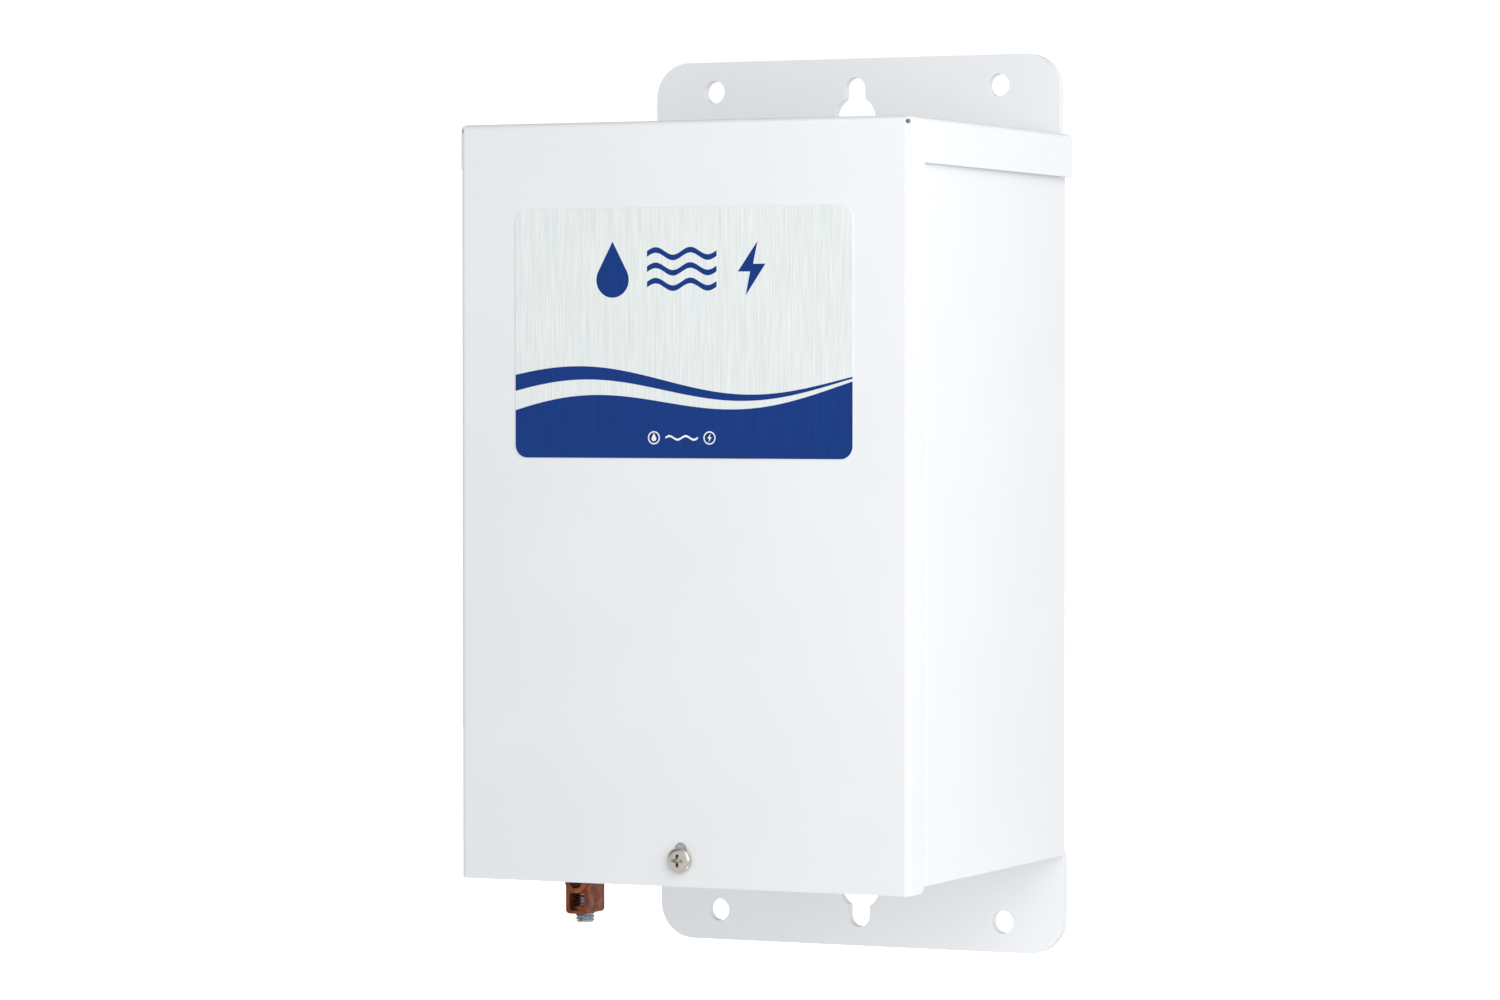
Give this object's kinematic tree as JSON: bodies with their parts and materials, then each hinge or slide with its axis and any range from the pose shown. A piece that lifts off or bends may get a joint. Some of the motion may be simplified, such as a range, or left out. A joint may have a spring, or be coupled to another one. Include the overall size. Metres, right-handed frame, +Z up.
{
  "type": "salt chlorine generator power centre",
  "caption": "Wall-hung sheet-steel power centre of a salt chlorine generator: slide-off cover, keyhole brackets, bonding lug, transformer and rectifier board inside.",
  "frame": {"origin": "on the upper bracket's back face, against the wall, on the centre line, 31.3 mm below its row of screw holes", "axes": "+Y into the wall, +Z up, +X to the right seen from the front; the cover faces -Y"},
  "size_m": [0.1964, 0.1806, 0.3735],
  "materials": {
    "white_paint": "smooth semi-gloss white powder coat",
    "bracket_paint": "smooth semi-gloss white powder coat",
    "label_film": "brushed silver label film with a printed blue wave",
    "screw_steel": "nickel-bright steel",
    "zinc_steel": "zinc-plated steel",
    "lug_copper": "tarnished copper",
    "white_nylon": "natural nylon",
    "black_nylon": "black nylon",
    "lamination_steel": "varnished silicon-steel laminations",
    "bobbin_nylon": "glass-filled nylon",
    "winding_tape": "yellow polyester tape",
    "winding_wire": "enamelled copper wire",
    "circuit_board": "green solder mask",
    "heatsink_aluminium": "plain extruded",
    "black_plastic": "moulded",
    "green_plastic": "moulded",
    "capacitor_sleeve": "blue shrink sleeve",
    "relay_plastic": "moulded",
    "clip_brass": "spring brass",
    "fuse_glass": "clear glass with nickel caps",
    "black_wire": "PVC insulation",
    "white_wire": "PVC insulation",
    "red_wire": "PVC insulation",
    "green_wire": "PVC insulation"
  },
  "bodies": {
    "enclosure": {"body_shell": "white_paint", "upper_bracket": "bracket_paint", "lower_bracket": "bracket_paint", "cover_clinch_nut": "zinc_steel", "ground_lug": "lug_copper", "lug_mounting_screw": "zinc_steel", "supply_bushing": "black_nylon", "cell_lead_bushing": "black_nylon", "transformer_core": "lamination_steel", "transformer_bobbin": "bobbin_nylon", "primary_winding": "winding_tape", "secondary_winding": "winding_wire", "transformer_bracket_left": "zinc_steel", "transformer_bracket_right": "zinc_steel", "power_board": "circuit_board", "heatsink": "heatsink_aluminium", "bridge_rectifier": "black_plastic", "rectifier_screw": "zinc_steel", "filter_capacitor": "capacitor_sleeve", "relay": "relay_plastic", "terminal_block": "green_plastic", "fuse_holder": "clip_brass", "cell_connector": "white_nylon", "primary_lead_1": "black_wire", "primary_lead_2": "white_wire", "secondary_lead_1": "red_wire", "secondary_lead_2": "red_wire", "ground_wire": "green_wire", "ground_screw": "green_plastic", "ground_ring_terminal": "clip_brass", "bracket_screw_1": "zinc_steel", "core_bolt_1": "zinc_steel", "transformer_screw_1": "zinc_steel", "board_standoff_1": "zinc_steel", "board_screw_1": "zinc_steel", "bracket_screw_2": "zinc_steel", "core_bolt_2": "zinc_steel", "transformer_screw_2": "zinc_steel", "board_standoff_2": "zinc_steel", "board_screw_2": "zinc_steel", "bracket_screw_3": "zinc_steel", "core_bolt_3": "zinc_steel", "transformer_screw_3": "zinc_steel", "board_standoff_3": "zinc_steel", "board_screw_3": "zinc_steel", "bracket_screw_4": "zinc_steel", "core_bolt_4": "zinc_steel", "transformer_screw_4": "zinc_steel", "board_standoff_4": "zinc_steel", "board_screw_4": "zinc_steel"},
    "cover": {"cover": "white_paint", "label_plate": "label_film"},
    "cover_screw_washer": {"cover_screw_washer": "white_nylon"},
    "cover_screw": {"cover_screw": "screw_steel"},
    "lug_clamp_screw": {"ground_lug_screw": "zinc_steel"},
    "fuse": {"fuse": "fuse_glass"},
    "terminal_screw_1": {"terminal_screw_1": "zinc_steel"},
    "terminal_screw_2": {"terminal_screw_2": "zinc_steel"},
    "terminal_screw_3": {"terminal_screw_3": "zinc_steel"},
    "terminal_screw_4": {"terminal_screw_4": "zinc_steel"}
  },
  "joints": [
    {"name": "cover_slide", "type": "slide", "parent": "enclosure", "child": "cover", "axis": [0, -1, 0], "range_m": [0, 0.18]},
    {"name": "cover_screw_travel", "type": "slide", "parent": "cover", "child": "cover_screw_washer", "axis": [0, -1, 0], "range_m": [0, 0.008]},
    {"name": "cover_screw_turn", "type": "hinge", "parent": "cover_screw_washer", "child": "cover_screw", "pos_m": [0, -0.178, -0.2795], "axis": [0, -1, 0], "range_deg": [0, 3610]},
    {"name": "lug_screw_travel", "type": "slide", "parent": "enclosure", "child": "lug_clamp_screw", "axis": [0, 0, -1], "range_m": [0, 0.006]},
    {"name": "fuse_pull", "type": "slide", "parent": "enclosure", "child": "fuse", "axis": [0, -1, 0], "range_m": [0, 0.015]},
    {"name": "terminal_screw_1_turn", "type": "hinge", "parent": "enclosure", "child": "terminal_screw_1", "pos_m": [-0.05625, -0.036, -0.129], "axis": [0, -1, 0], "continuous": true},
    {"name": "terminal_screw_2_turn", "type": "hinge", "parent": "enclosure", "child": "terminal_screw_2", "pos_m": [-0.04675, -0.036, -0.129], "axis": [0, -1, 0], "continuous": true},
    {"name": "terminal_screw_3_turn", "type": "hinge", "parent": "enclosure", "child": "terminal_screw_3", "pos_m": [-0.03725, -0.036, -0.129], "axis": [0, -1, 0], "continuous": true},
    {"name": "terminal_screw_4_turn", "type": "hinge", "parent": "enclosure", "child": "terminal_screw_4", "pos_m": [-0.02775, -0.036, -0.129], "axis": [0, -1, 0], "continuous": true}
  ],
  "couplings": [
    {"joint": "cover_screw_turn", "follows": "cover_screw_travel", "rad_per_m": 7854}
  ]
}
